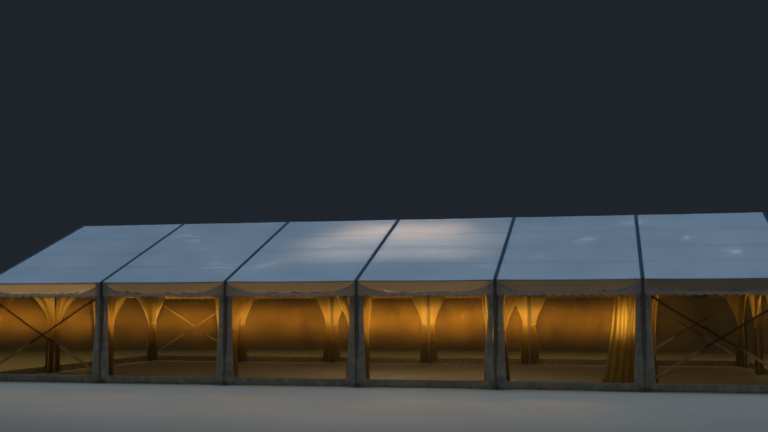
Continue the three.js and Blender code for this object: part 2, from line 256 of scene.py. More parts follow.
class Paint:
    """A material's node tree, with short calls that add a node and give back its output."""

    def __init__(self, name):
        self.material = bpy.data.materials.new(name)
        self.material.use_nodes = True
        self.tree = self.material.node_tree
        self.tree.nodes.clear()
        self.place = self.node("ShaderNodeTexCoord").outputs["Object"]

    def node(self, kind, values=None, **settings):
        made = self.tree.nodes.new(kind)
        for key, value in settings.items():
            setattr(made, key, value)
        for key, value in (values or {}).items():
            self.feed(made.inputs[key], value)
        return made

    def feed(self, socket, value):
        """Links another node's output to a socket, or sets a number or a colour on it."""
        if isinstance(value, bpy.types.NodeSocket):
            self.tree.links.new(value, socket)
        elif socket.type == "RGBA":
            socket.default_value = (*value, 1.0)
        else:
            socket.default_value = value

    def stretched(self, scale, shift=(0, 0, 0)):
        values = {"Vector": self.place, "Location": shift, "Scale": scale}
        return self.node("ShaderNodeMapping", values).outputs[0]

    def noise(self, scale, detail=3.0, stretch=(1, 1, 1), roughness=0.5):
        values = {"Scale": scale, "Detail": detail, "Roughness": roughness}
        values["Vector"] = self.stretched(stretch)
        return self.node("ShaderNodeTexNoise", values).outputs["Fac"]

    def wave(self, scale, direction, distortion=0.0):
        values = {"Vector": self.place, "Scale": scale, "Distortion": distortion}
        return self.node("ShaderNodeTexWave", values, bands_direction=direction).outputs["Fac"]

    def ranged(self, value, low, high, start=0.3, end=0.7):
        """The value's stretch from start to end, spread from low to high."""
        values = {"Value": value, "From Min": start, "From Max": end, "To Min": low, "To Max": high}
        return self.node("ShaderNodeMapRange", values).outputs[0]

    def patches(self, low, high, scale, detail=3.0, stretch=(1, 1, 1), roughness=0.5, start=0.3, end=0.7):
        """A noise whose stretch from start to end is spread from low to high."""
        return self.ranged(self.noise(scale, detail, stretch, roughness), low, high, start, end)

    def combine(self, a, b, operation="ADD"):
        return self.node("ShaderNodeMath", {0: a, 1: b}, operation=operation).outputs[0]

    def mix(self, factor, a, b):
        return self.node("ShaderNodeMix", {0: factor, 6: a, 7: b}, data_type="RGBA").outputs[2]

    def bump(self, height, strength, distance, normal=None):
        values = {"Height": height, "Strength": strength, "Distance": distance}
        if normal:
            values["Normal"] = normal
        return self.node("ShaderNodeBump", values).outputs[0]

    def weave(self, scale, strength, normal):
        threads = self.combine(self.wave(scale, "X"), self.wave(scale, "Z"), "MULTIPLY")
        return self.bump(threads, strength, 0.0006, normal)

    def surface(self, values):
        return self.node("ShaderNodeBsdfPrincipled", values).outputs[0]

    def glow(self, tint, normal):
        """Light that comes through from behind."""
        return self.node("ShaderNodeBsdfTranslucent", {"Color": tint, "Normal": normal}).outputs[0]

    def blend(self, factor, first, second):
        return self.node("ShaderNodeMixShader", {0: factor, 1: first, 2: second}).outputs[0]

    def finish(self, shader):
        output = self.node("ShaderNodeOutputMaterial")
        self.tree.links.new(shader, output.inputs["Surface"])
        return self.material


DIRT_COLOUR = (0.20, 0.19, 0.13)
DIRT_LOW, DIRT_HIGH = 0.02, 0.42


def splashed(paint, base, dirt):
    """Mud splashes that thin out from the ground upwards."""
    height = paint.node("ShaderNodeSeparateXYZ", {0: paint.place}).outputs["Z"]
    low = paint.ranged(height, dirt, 0.0, DIRT_LOW, DIRT_HIGH)
    splashes = paint.patches(0.25, 1.0, 9.0, 6.0, start=0.35, end=0.65)
    return paint.mix(paint.combine(low, splashes, "MULTIPLY"), base, DIRT_COLOUR)


def vinyl(name, light, dark, warm, through, dirt=0.0, creases=0.5, blotches=0.7):
    """Coated tent vinyl: mottled, rain-streaked and creased, and it lets some light through."""
    paint = Paint(name)
    mottle = paint.patches(0.0, 1.0, blotches, 4.0)
    streaks = paint.patches(0.0, 0.30, 1.0, 4.0, (16.0, 0.9, 1.6), start=0.50, end=0.78)
    base = paint.mix(streaks, paint.mix(mottle, light, dark), dark)
    if dirt:
        base = splashed(paint, base, dirt)
    large = paint.bump(paint.noise(2.2, 3.0, (1.0, 1.6, 1.6)), 0.35 * creases, 0.02)
    small = paint.bump(paint.noise(11.0, 4.0), 0.30 * creases, 0.004, large)
    normal = paint.weave(160.0, 0.10, small)
    shader = paint.surface({
        "Base Color": base,
        "Roughness": paint.patches(0.38, 0.56, 3.0),
        "Specular IOR Level": 0.45,
        "Coat Weight": 0.12,
        "Coat Roughness": 0.30,
        "Normal": normal,
    })
    return paint.finish(paint.blend(through, shader, paint.glow(warm, normal)))


FILM_COLOUR = (0.50, 0.33, 0.12)
FILM_GLOW = (0.85, 0.46, 0.10)
FILM_CLEAR = (0.94, 0.82, 0.60)
FILM_GLOW_SHARE = 0.60


def clear_vinyl():
    """Window vinyl: clear but hazy, yellowed, and wavy where it has been rolled up."""
    paint = Paint("clear_vinyl")
    rolls = paint.bump(paint.noise(1.6, 2.0, (0.5, 0.5, 2.2)), 0.55, 0.03)
    dents = paint.bump(paint.noise(7.0, 3.0), 0.25, 0.006, rolls)
    haze = paint.patches(0.022, 0.07, 2.6, 5.0, (1.0, 1.0, 0.6), 0.6)
    scuffs = paint.patches(0.0, 0.03, 24.0, 5.0, (1.0, 1.0, 0.25), 0.7, 0.55, 0.75)
    surface = paint.surface({
        "Base Color": FILM_COLOUR,
        "Roughness": paint.patches(0.07, 0.20, 5.0),
        "Specular IOR Level": 0.5,
        "Normal": dents,
    })
    film = paint.blend(FILM_GLOW_SHARE, surface, paint.glow(FILM_GLOW, dents))
    clear = paint.node("ShaderNodeBsdfTransparent", {"Color": FILM_CLEAR}).outputs[0]
    return paint.finish(paint.blend(paint.combine(haze, scuffs), clear, film))


# The colour painted into the drapes' folds as shade
FOLD_PAINTED_SHADE = (0.32, 0.24, 0.11)
CLOTH_GLOW_SHARE = 0.75


def cloth(name, light, dark):
    """Ivory lining cloth: woven, with shade painted into its folds, glowing where light is behind it."""
    paint = Paint(name)
    shade = paint.patches(0.0, 1.0, 3.0, 4.0, (3.0, 3.0, 0.5))
    # The drape's painted shade in its folds darkens both the cloth's surface and the light through it.
    fold = paint.node("ShaderNodeAttribute", attribute_name="fold").outputs["Fac"]
    slubs = paint.bump(paint.noise(60.0, 3.0, (4.0, 4.0, 0.4)), 0.30, 0.002)
    normal = paint.weave(260.0, 0.25, slubs)
    shader = paint.surface({
        "Base Color": paint.mix(fold, paint.mix(shade, light, dark), FOLD_PAINTED_SHADE),
        "Roughness": paint.patches(0.72, 0.92, 20.0, 2.0),
        "Sheen Weight": 0.35,
        "Sheen Roughness": 0.45,
        "Normal": normal,
    })
    glow = paint.glow(paint.mix(fold, light, FOLD_PAINTED_SHADE), normal)
    return paint.finish(paint.blend(CLOTH_GLOW_SHARE, shader, glow))


def metal(name, light, dark, rough, brushed, spangle=0.0):
    """Weathered metal: streaked along its brushing, dulled in patches, spangled if galvanised."""
    paint = Paint(name)
    base = paint.mix(paint.patches(0.0, 1.0, 2.4, 5.0), light, dark)
    if spangle:
        cells = paint.node("ShaderNodeTexVoronoi", {"Vector": paint.place, "Scale": spangle})
        base = paint.mix(0.14, base, cells.outputs["Color"])
    streaks = paint.noise(1.0, 4.0, brushed, 0.6)
    scratches = paint.bump(streaks, 0.12, 0.001)
    shader = paint.surface({
        "Base Color": base,
        "Metallic": 0.88,
        "Roughness": paint.ranged(streaks, rough, rough + 0.16),
        "Normal": paint.bump(paint.noise(40.0, 3.0), 0.08, 0.002, scratches),
    })
    return paint.finish(shader)


def webbing(name, light, dark):
    """Woven polyester strap."""
    paint = Paint(name)
    ribs = paint.wave(220.0, "DIAGONAL", 0.4)
    shader = paint.surface({
        "Base Color": paint.mix(paint.ranged(ribs, 0.0, 1.0, 0.2, 0.8), light, dark),
        "Roughness": paint.patches(0.62, 0.85, 14.0, 4.0),
        "Normal": paint.bump(ribs, 0.5, 0.0008),
    })
    return paint.finish(shader)


BACKDROP = (0.014, 0.018, 0.024)
BACKDROP_FROM, BACKDROP_TO = 8.0, 17.0
BACKDROP_SQUEEZE, BACKDROP_FORWARD = 0.62, 2.5
FLOOR_DARK, FLOOR_LIGHT = (0.34, 0.30, 0.26), (0.38, 0.34, 0.30)


def floor_paint():
    """A plain floor that fades into the backdrop with its distance from the tent."""
    paint = Paint("studio_floor")
    speckle = paint.patches(0.0, 1.0, 0.35, 4.0)
    base = paint.mix(speckle, FLOOR_DARK, FLOOR_LIGHT)
    place = paint.stretched((BACKDROP_SQUEEZE, 1.0, 1.0), (0, BACKDROP_FORWARD, 0))
    far = paint.node("ShaderNodeVectorMath", {0: place}, operation="LENGTH").outputs["Value"]
    share = paint.ranged(far, 0.0, 1.0, BACKDROP_FROM, BACKDROP_TO)
    backdrop = paint.node("ShaderNodeEmission", {"Color": BACKDROP}).outputs[0]
    shader = paint.surface({"Base Color": base, "Roughness": 0.85})
    return paint.finish(paint.blend(share, shader, backdrop))


WHITE_GLOW = (0.92, 0.86, 0.78)
VALANCE_GLOW = (0.85, 0.72, 0.52)
roof_vinyl = vinyl("roof_vinyl_sheet", (0.60, 0.69, 0.80), (0.49, 0.58, 0.69), WHITE_GLOW, 0.28)
roof_weld = vinyl("roof_vinyl_weld", (0.50, 0.58, 0.68), (0.42, 0.49, 0.58), WHITE_GLOW, 0.20, creases=0.3)
# The valance is the roof's vinyl again, painted darker for its shade: its tucked band also warm brown for
# the lamplight through it, its skirt and binding a duller grey-brown.
valance_painted_glow_vinyl = vinyl("valance_painted_glow_vinyl", (0.55, 0.44, 0.32), (0.43, 0.35, 0.25), VALANCE_GLOW, 0.35)
skirt_painted_shade_vinyl = vinyl("valance_skirt_painted_shade_vinyl", (0.40, 0.35, 0.29), (0.33, 0.29, 0.24), WHITE_GLOW, 0.16)
binding_painted_shade_tape = vinyl(
    "valance_binding_painted_shade", (0.36, 0.31, 0.25), (0.30, 0.26, 0.21), WHITE_GLOW, 0.02, creases=0.3
)
# A dark band painted just under the eave for the shadow line there
eave_painted_shadow = vinyl("eave_painted_shadow_vinyl", (0.30, 0.28, 0.25), (0.22, 0.20, 0.18), WHITE_GLOW, 0.02)
# The wall vinyl is white in itself, painted darker and browner for the shade on the walls, its weld too; its
# rain streaks and mud are dirt.
wall_vinyl = vinyl(
    "wall_vinyl_border_painted_shade", (0.50, 0.43, 0.35), (0.24, 0.20, 0.155), WHITE_GLOW, 0.14,
    dirt=0.65, creases=2.2, blotches=9.0,
)
wall_weld = vinyl("wall_vinyl_weld_painted_shade", (0.47, 0.41, 0.33), (0.39, 0.34, 0.27), WHITE_GLOW, 0.12, dirt=0.5)
window_vinyl = clear_vinyl()
# The curtain cloth's own ivory is pushed towards gold: painted warm lamplight on top of its cream.
curtain_cloth = cloth("ivory_curtain_cloth", (0.90, 0.84, 0.56), (0.80, 0.71, 0.43))
tie_cloth = cloth("curtain_tie_cloth", (0.82, 0.68, 0.40), (0.68, 0.54, 0.28))
# The aluminium's blue is a painted tint of the evening sky; the legs get a copy painted dark and brown for
# the shade they stand in.
aluminium = metal("mill_aluminium_painted_sky", (0.38, 0.59, 0.78), (0.28, 0.43, 0.58), 0.40, (60.0, 6.0, 3.0))
leg_aluminium_painted_shade = metal("leg_aluminium_painted_shade", (0.27, 0.25, 0.21), (0.18, 0.17, 0.14), 0.45, (60.0, 60.0, 1.0))
steel = metal("galvanised_steel", (0.40, 0.41, 0.42), (0.24, 0.25, 0.26), 0.42, (30.0, 30.0, 30.0), 90.0)
wire = metal("wire_rope", (0.30, 0.31, 0.32), (0.18, 0.19, 0.20), 0.40, (300.0, 300.0, 300.0))
dark_webbing = webbing("dark_webbing", (0.10, 0.05, 0.045), (0.05, 0.03, 0.03))
pale_webbing = webbing("pale_webbing", (0.64, 0.60, 0.52), (0.50, 0.47, 0.41))


# The aluminium profile, as (across, depth from its outer face), with two keder grooves a side

CORNER = 0.0015
GROOVES = ((0.0025, 0.0120), (0.0160, 0.0255))
GROOVE_DEPTH = 0.009
FLUTE = (0.048, 0.082)
FLUTE_DEPTH = 0.003
TRACK_HALF, TRACK_DEPTH = 0.012, 0.007


def profile_section():
    half = PROFILE_WIDTH / 2
    side = [(half - CORNER, 0), (half, CORNER)]
    for top, bottom in GROOVES:
        side += [(half, top), (half - GROOVE_DEPTH, top), (half - GROOVE_DEPTH, bottom), (half, bottom)]
    side += [(half, FLUTE[0]), (half - FLUTE_DEPTH, FLUTE[0] + FLUTE_DEPTH)]
    side += [(half - FLUTE_DEPTH, FLUTE[1] - FLUTE_DEPTH), (half, FLUTE[1])]
    side += [(half, PROFILE_DEPTH - CORNER), (half - CORNER, PROFILE_DEPTH)]
    side += [(TRACK_HALF, PROFILE_DEPTH), (TRACK_HALF, PROFILE_DEPTH - TRACK_DEPTH)]
    return side + [(-across, depth) for across, depth in reversed(side)]


# Portal frames: two legs and two rafters on base plates; slots are aluminium, steel, and the legs' copy
# painted darker for shade

UP = (0, 0, 1)
PLATE_CORNER = 0.012
STAKE_HEAD = ((0, 0.009), (0.012, 0.009), (0.013, 0.013), (0.024, 0.013), (0.027, 0.009))
STAKE_SPOT = (0.074, 0.082)
PLATE_BOLT_SPOT = (0.074, -0.070)
FRAME_BOLT = 0.010
LEG_BOLTS = (1.78, 1.88)
RAFTER_BOLTS = (0.16, 0.26, 4.42, 4.52)
RAFTER_BOLT_DEPTH = 0.72 * PROFILE_DEPTH


def base_plate(form, x, y, out_sign):
    """The steel plate under a leg, with two stake heads outside and two bolts inside."""
    form.block((x, y, PLATE_TOP / 2), (PLATE, PLATE, PLATE_TOP), 1, PLATE_CORNER)
    for side in (-1, 1):
        stake = (x + side * STAKE_SPOT[0], y + out_sign * STAKE_SPOT[1], PLATE_TOP)
        form.turned(stake, UP, STAKE_HEAD, 16, 1)
        bolt = (x + side * PLATE_BOLT_SPOT[0], y + out_sign * PLATE_BOLT_SPOT[1], PLATE_TOP)
        form.bolt(bolt, UP, FRAME_BOLT, 1)


def portal_bars(form, x):
    """One skin up a leg, over the mitred knees and the ridge, and down the other leg."""
    section = profile_section()
    feet, knees = [], []
    for sign in (-1, 1):
        feet.append([(x + a, sign * (LEG_OUT - d), PLATE_TOP) for a, d in section])
        knees.append([(x + a, sign * (LEG_OUT - d), roof_at(LEG_OUT - d, d)) for a, d in section])
    ridge = [(x + a, 0.0, roof_at(0, d)) for a, d in section]
    form.skin([np.array(ring, float) for ring in (feet[0], knees[0], ridge, knees[1], feet[1])])
    # The leg faces take the copy of the aluminium painted dark for shade.
    for index, face in enumerate(form.faces):
        if min(form.points[corner][2] for corner in face) < EAVE_Z / 2:
            form.slots[index] = 2


def portal_bolts(form, face, side, sign):
    """The bolts at a leg's and a rafter's joints, on one of their side faces."""
    for height in LEG_BOLTS:
        form.bolt((face, sign * (LEG_OUT - PROFILE_DEPTH / 2), height), (side, 0, 0), FRAME_BOLT, 1)
    for along in RAFTER_BOLTS:
        out = along * math.cos(SLOPE)
        form.bolt((face, sign * out, roof_at(out, RAFTER_BOLT_DEPTH)), (side, 0, 0), FRAME_BOLT, 1)


def portal_frame(number):
    x = FRAME_X[number - 1]
    form = Form()
    portal_bars(form, x)
    for sign in (-1, 1):
        base_plate(form, x, sign * (LEG_OUT - PROFILE_DEPTH / 2), sign)
        for side in (-1, 1):
            portal_bolts(form, x + side * PROFILE_WIDTH / 2, side, sign)
    node = f"portal_frame_{number}"
    dress(f"{node}_profile", form, [aluminium, steel, leg_aluminium_painted_shade], "aluminium", node)


# Rails and purlins: a grooved bar in each bay, on a bracket at each end

BAR_CORNER, BAR_GROOVE = 0.002, 0.006
BAR_GAP = 0.0003
BRACKET_LONG, BRACKET_THICK = 0.07, 0.002
BRACKET_BOLT = 0.007


def bar_section(width, height):
    """A box bar's outline with a groove in each side and small chamfers, about its middle."""
    x, y = width / 2, height / 2
    cut, groove = BAR_CORNER, BAR_GROOVE
    quarter = [(x - cut, -y), (x, -y + cut), (x, -groove), (x - groove, -groove)]
    right = quarter + [(a, -b) for a, b in reversed(quarter)]
    return right + [(-a, -b) for a, b in right]


def long_bar(node, width, height, tilt=0.0):
    """Bars along the marquee, with their section turned by tilt in the y-z plane."""
    form = Form()
    centre = middle(node)
    cos, sin = math.cos(tilt), math.sin(tilt)

    def outline(x, extra):
        section = bar_section(width + extra, height + extra)
        return [(x, centre.y + a * cos - b * sin, centre.z + a * sin + b * cos) for a, b in section]

    for left, right in zip(FRAME_X, FRAME_X[1:]):
        start = left + PROFILE_WIDTH / 2 + BAR_GAP
        end = right - PROFILE_WIDTH / 2 - BAR_GAP
        form.prism(outline(start, 0.0), (end - start, 0, 0))
        for low in (start, end - BRACKET_LONG):
            form.prism(outline(low, 2 * BRACKET_THICK), (BRACKET_LONG, 0, 0), 1)
            for side in (-1, 1):
                axis = Vector((0, side * cos, side * sin))
                out = Vector((low + BRACKET_LONG / 2, centre.y, centre.z))
                form.bolt(out + axis * (width / 2 + BRACKET_THICK), axis, BRACKET_BOLT, 1)
    dress(f"{node}_bars", form, [aluminium, steel], "aluminium", node)


def rails_and_purlins():
    for side, tilt in (("front", SLOPE), ("back", -SLOPE)):
        rail = extent(f"{side}_eave_rail")
        long_bar(f"{side}_eave_rail", rail.y, rail.z)
        square = extent(f"{side}_purlin").z / (math.cos(SLOPE) + math.sin(SLOPE))
        long_bar(f"{side}_purlin", square, square, tilt)
    ridge = extent("ridge_purlin")
    long_bar("ridge_purlin", ridge.y, ridge.z)


# Roof sheets: one cloth from hem to hem in each bay, with its weld seams, valances and bindings

ROOF_MATERIALS = [roof_vinyl, roof_weld, valance_painted_glow_vinyl, binding_painted_shade_tape, eave_painted_shadow, skirt_painted_shade_vinyl]
ROOF_SLOT, SEAM_SLOT, VALANCE_SLOT, BINDING_SLOT, EAVE_SHADOW_SLOT, SKIRT_SLOT = range(6)
ROOF_ROWS, ROOF_COLUMNS = 31, 90
SEAMS = (1.22, 2.44, 3.45)
SEAM_HALF = 0.017
SEAM_STEP = 0.0008
EAVE_ROUND = 0.018
EAVE_STEPS = 4
EAVE_SAG = 0.009
SLOPE_SHORT = 0.0038
VALANCE_OUT = EAVE_OUT - 0.004
SAG_LEAST, SAG_MIDWAY, SAG_EAVE = 0.006, 0.010, 0.004
PURLIN_OUT = 2.25
BROAD_WRINKLE, FINE_WRINKLE = 0.0016, 0.0007
PUCKER_DEEP, PUCKER_REACH, PUCKERS = 0.0045, 0.42, 9


def slope_rows():
    """Distances out from the ridge of the cloth's rows, as (distance, raised, on a seam)."""
    end = EAVE_OUT - SLOPE_SHORT - EAVE_ROUND * (1 - math.sin(SLOPE))
    rows = [(d, 0.0, False) for d in np.linspace(0.0, end, ROOF_ROWS)]
    rows = [row for row in rows if all(abs(row[0] - s) > 2 * SEAM_HALF for s in SEAMS)]
    for seam in SEAMS:
        rows += [(seam - SEAM_HALF, 0.0, False), (seam - SEAM_HALF + SEAM_STEP, SEAM_STEP, True)]
        rows += [(seam + SEAM_HALF - SEAM_STEP, SEAM_STEP, True), (seam + SEAM_HALF, 0.0, False)]
    return sorted(rows)


def slack(u):
    """How free a cloth is between its frames, at -1 and 1: 1 midway and 0 at them."""
    return 1 - np.clip(np.abs(u), 0, 1) ** 2


def from_corners(x, down):
    """For each of a sheet's two corners: its side, and how far across and away the points are."""
    for corner in (-1, 1):
        across = HALF_BAY - corner * x
        yield corner, across, np.sqrt(across**2 + down**2)


def sheet_sag(out, u):
    """How far the cloth sags between its frames, a distance out from the ridge."""
    between = math.sin(math.pi * out / PURLIN_OUT) ** 2
    sag = SAG_LEAST + SAG_MIDWAY * between + SAG_EAVE * ease(out, 3.9, LEG_OUT)
    return sag * slack(u)


def corner_puckers(x, out, seed):
    """Puckers that run in from the sheet's two lower corners."""
    total = 0.0
    along = EAVE_OUT - out
    for _, across, reach in from_corners(x, along):
        folds = np.sin(PUCKERS * np.arctan2(along + 0.01, across + 0.01) + seed)
        total = total + folds * np.exp(-reach / PUCKER_REACH) * ease(across, 0.0, 0.12)
    return PUCKER_DEEP * total


def slope_cloth(x, u, seed):
    """The rows of one slope, from the ridge down, and each row's slot."""
    edge = slack(u)
    broad, fine = ripples(seed, 0.7, 2.4), ripples(seed + 1, 0.12, 0.5)
    rows, slots = [], []
    for out, raised, on_seam in slope_rows():
        lift = raised - sheet_sag(out, u) + corner_puckers(x, out, seed)
        lift = lift + BROAD_WRINKLE * broad(x, out) * edge + FINE_WRINKLE * fine(x, out) * np.sqrt(edge)
        z = roof_at(out, CLOTH_DROP) + math.cos(SLOPE) * lift
        rows.append(np.stack([x, out + math.sin(SLOPE) * lift, z], -1))
        slots.append(SEAM_SLOT if on_seam else ROOF_SLOT)
    return rows, slots


def eave_cloth(x, u, seed):
    """The rows round the eave rail and down the valance, and each row's slot."""
    sag = EAVE_SAG * slack(u)
    centre_out = VALANCE_OUT - EAVE_ROUND
    centre_z = roof_at(centre_out, CLOTH_DROP + EAVE_ROUND)
    rows = []
    for step in range(1, EAVE_STEPS + 1):
        turn = (math.pi / 2 - SLOPE) * (1 - step / EAVE_STEPS)
        y = centre_out + EAVE_ROUND * math.cos(turn) + 0 * x
        rows.append(np.stack([x, y, centre_z + EAVE_ROUND * math.sin(turn) - sag], -1))
    valance, slots = valance_rows(x, u, centre_z - sag, seed)
    return rows + valance, [ROOF_SLOT] * EAVE_STEPS + slots


# The valance: tucked in down to a swagged crease, then falling freely to its scalloped hem

SCALLOPS = 15
SCALLOP_RISE = 0.038
BINDING = 0.013
# The depth of the painted shadow band under the eave
EAVE_SHADOW_DEPTH = 0.016
TUCK = 0.034
SKIRT_FLARE = 0.012
CREASE_HIGH, CREASE_SWAG = 0.08, 0.68
CREASE_ROWS = 10
SKIRT_ROWS = 10
FOLD_PROUD, FOLD_WIDE = 0.012, 0.045
FAN_FOLDS = 15.0
FAN_REACH = 0.62
FAN_DEEP = 0.0075
BROAD_WAVE, FINE_WAVE = 0.004, 0.0012


def hem_height(u):
    """The scalloped hem: points at the cusps, and round drops between them."""
    drop = np.abs(np.sin(math.pi * SCALLOPS * (u + 1) / 2)) ** 0.8
    return HEM_LOW + SCALLOP_RISE * (1 - drop)


def corner_folds(x, down, seed):
    """Folds that fan down and inwards from the valance's two upper corners."""
    total = 0.0
    for corner, across, reach in from_corners(x, down):
        turn = np.arctan2(down, np.maximum(across, 0.001))
        fan = np.sin(FAN_FOLDS * turn + 1.3 * corner + seed) + 0.35 * np.sin(2 * FAN_FOLDS * turn + seed)
        total = total + fan * ease(reach, 0.03, 0.22) * np.exp(-((reach / FAN_REACH) ** 2))
    return FAN_DEEP * total


def valance_shares(crease):
    """How far down each row is, as a share of the depth, and the slot of the cloth above it."""
    deep = EAVE_Z - HEM_LOW
    line, bound = EAVE_SHADOW_DEPTH / deep, 1 - BINDING / deep
    upper = 1 - (1 - np.arange(CREASE_ROWS + 1) / CREASE_ROWS) ** 1.7
    lower = (np.arange(1, SKIRT_ROWS + 1) / SKIRT_ROWS) ** 1.5
    # The cloth down to the first row takes the painted shadow band.
    shares = [(line + (crease - line) * share, VALANCE_SLOT if share else EAVE_SHADOW_SLOT) for share in upper]
    shares += [(crease + (bound - crease) * share, SKIRT_SLOT) for share in lower]
    return shares + [(1.0, BINDING_SLOT)]


def valance_rows(x, u, top, seed):
    depth = top - hem_height(u)
    side = np.abs(u)
    crease = CREASE_HIGH + CREASE_SWAG * (1 - side**5)
    tuck = TUCK * (1 - side**6)
    wave, small = ripples(seed + 2, 0.22, 0.7), ripples(seed + 3, 0.07, 0.2)
    pulled = ease(side, 0.35, 0.85) * ease(side, 1.0, 0.96)
    rows, slots = [], []
    for share, slot in valance_shares(crease):
        above = np.clip(share / crease, 0, 1)
        below = np.clip((share - crease) / (1 - crease), 0, 1)
        shift = -tuck * above**1.5 + (tuck + SKIRT_FLARE) * below
        shift = shift + FOLD_PROUD * np.exp(-(((share - crease) / FOLD_WIDE) ** 2)) * pulled
        shift = shift + BROAD_WAVE * wave(x, share * 0.3) * share + FINE_WAVE * small(x, share * 0.3) * share
        shift = shift + corner_folds(x, share * depth, seed)
        rows.append(np.stack([x, VALANCE_OUT + shift, top - share * depth], -1))
        slots.append(slot)
    return rows, slots


def roof_half(x, seed):
    u = x / HALF_BAY
    slope, slope_slots = slope_cloth(x, u, seed)
    eave, eave_slots = eave_cloth(x, u, seed)
    return slope + eave, slope_slots + eave_slots


def roof_sheet(number):
    x = np.linspace(-1, 1, ROOF_COLUMNS + 1) * (HALF_BAY + GROOVE_REACH)
    front, front_slots = roof_half(x, 10 * number)
    back, back_slots = roof_half(x, 10 * number + 5)
    for row in front:
        row[:, 1] *= -1
    points = np.array(front[::-1] + back[1:]) + np.array([BAY_X[number - 1], 0, 0])
    cells = front_slots[:0:-1] + back_slots[1:]
    form = Form()
    form.grid(points, np.array(cells)[:, None])
    piece = build(f"roof_sheet_{number}_cloth", form, ROOF_MATERIALS, thickness=CLOTH)
    fit(piece, "roof_vinyl", f"roof_sheet_{number}")


# Window walls: clear panes welded into borders of white vinyl that flare over the legs' feet

WALL_MATERIALS = [wall_vinyl, wall_weld, window_vinyl]
BORDER_SLOT, WELD_SLOT, PANE_SLOT = range(3)
BORDER = 0.118
BORDER_FLARE = 0.050
EDGE_FLARE = 0.022
WELD = 0.022
BAND_TOP = 0.180
WINDOW_TOP = 2.180
GABLE_WINDOW_TOP = 1.990
PANE_COLUMNS, PANE_ROWS = 40, 44
BORDER_STEPS, BAND_STEPS = 3, 4
WAVE_DEEP, RIPPLE_DEEP = 0.006, 0.0036
FOOT_OUT, FOOT_WAVE = 0.008, 0.006
WRAP_OUT, WRAP_UP = 0.031, 0.040
LOOSE_WALL, LOOSE_EDGE = ("front", 4), 0.038


def facing(side, x):
    """Places what is drawn as seen from outside the front, on the front or the back."""
    turn = Matrix.Rotation(0.0 if side == "front" else math.pi, 4, "Z")
    return Matrix.Translation((x, 0, 0)) @ turn


def wall_columns(half, windows):
    """The cloth's columns as (place at the top, shift at the foot), and each strip's slot."""
    columns, slots = [(-half, -EDGE_FLARE)], []

    def strip(end, shifts, steps, slot):
        start = columns[-1][0]
        for share in np.arange(1, steps + 1) / steps:
            columns.append((start + (end - start) * share, shifts[0] + (shifts[1] - shifts[0]) * share))
            slots.append(slot)

    shift = -EDGE_FLARE
    for left, right in windows:
        strip(left - WELD, (shift, BORDER_FLARE), BORDER_STEPS, BORDER_SLOT)
        strip(left, (BORDER_FLARE, BORDER_FLARE), 1, WELD_SLOT)
        strip(right, (BORDER_FLARE, -BORDER_FLARE), PANE_COLUMNS, PANE_SLOT)
        strip(right + WELD, (-BORDER_FLARE, -BORDER_FLARE), 1, WELD_SLOT)
        shift = 0.0
    strip(half, (-BORDER_FLARE, EDGE_FLARE), BORDER_STEPS, BORDER_SLOT)
    return np.array(columns), np.array(slots)


def wall_rows(window_top, top):
    """The cloth's heights, and the slot of the strip above each."""
    ground = np.linspace(WALL_LOW, BAND_TOP - WELD, BAND_STEPS + 1)
    pane = np.linspace(BAND_TOP, window_top, PANE_ROWS + 1)
    head = np.linspace(window_top + WELD, top, BORDER_STEPS + 1)
    slots = [BORDER_SLOT] * BAND_STEPS + [WELD_SLOT] + [PANE_SLOT] * PANE_ROWS
    slots += [WELD_SLOT] + [BORDER_SLOT] * BORDER_STEPS
    return np.concatenate([ground, pane, head]), np.array(slots)


def wall_bulge(x, z, side, top, seed):
    """How far the cloth stands out: slack waves, a loose foot, and edges that wrap the legs."""
    wave, fine = ripples(seed, 0.5, 1.6), ripples(seed + 1, 0.15, 0.40)
    waving = ease(side, 1.0, 0.90) * ease(z, top, top - 0.5)
    taut = ease(side, 1.0, 0.965) * ease(z, top, top - 0.12)
    foot = ease(z, 0.30, 0.02) * ease(side, 1.0, 0.97)
    wrap = ease(side, 0.955, 0.985) * ease(z, 1.0, 0.45) * ease(-z, -0.02, -0.09)
    bulge = WAVE_DEEP * outward(wave(x, 0.7 * z)) * waving + RIPPLE_DEEP * outward(fine(x, z)) * taut
    return bulge + foot * (FOOT_OUT + FOOT_WAVE * wave(2.2 * x, z)) + WRAP_OUT * wrap


def window_sheet(half, window_top, top, windows, out, seed, loose=0.0):
    """One wall's cloth; loose pulls its right edge in between the hem and the eave."""
    columns, column_slots = wall_columns(half + GROOVE_REACH, windows)
    heights, row_slots = wall_rows(window_top, top)
    across, z = np.meshgrid(columns[:, 0], heights)
    u = across / (half + GROOVE_REACH)
    side = np.abs(u)
    x = across + columns[:, 1] * ease(z, 1.5, 0.05)
    x = x - loose * ease(z, 0.12, 0.55) * ease(z, 1.75, 0.9) * ease(u, 0.55, 0.93)
    y = -(out + wall_bulge(x, z, side, top, seed))
    z = z + WRAP_UP * ease(side, 0.955, 0.995) * ease(z, 0.10, WALL_LOW)
    form = Form()
    form.grid(np.stack([x, y, z], -1), np.minimum(row_slots[:, None], column_slots))
    return form


def bay_wall(side, number):
    window = HALF_BAY - BORDER
    loose = LOOSE_EDGE if (side, number) == LOOSE_WALL else 0.0
    seed = 100 + number + (50 if side == "back" else 0)
    form = window_sheet(HALF_BAY, WINDOW_TOP, WALL_TOP, [(-window, window)], WALL_OUT, seed, loose)
    place = facing(side, BAY_X[number - 1])
    piece = build(f"{side}_wall_{number}_cloth", form, WALL_MATERIALS, place, CLOTH)
    fit(piece, "window_vinyl", f"{side}_wall_{number}")


# Curtains: each drape is gathered between a near edge by the leg and a free far edge

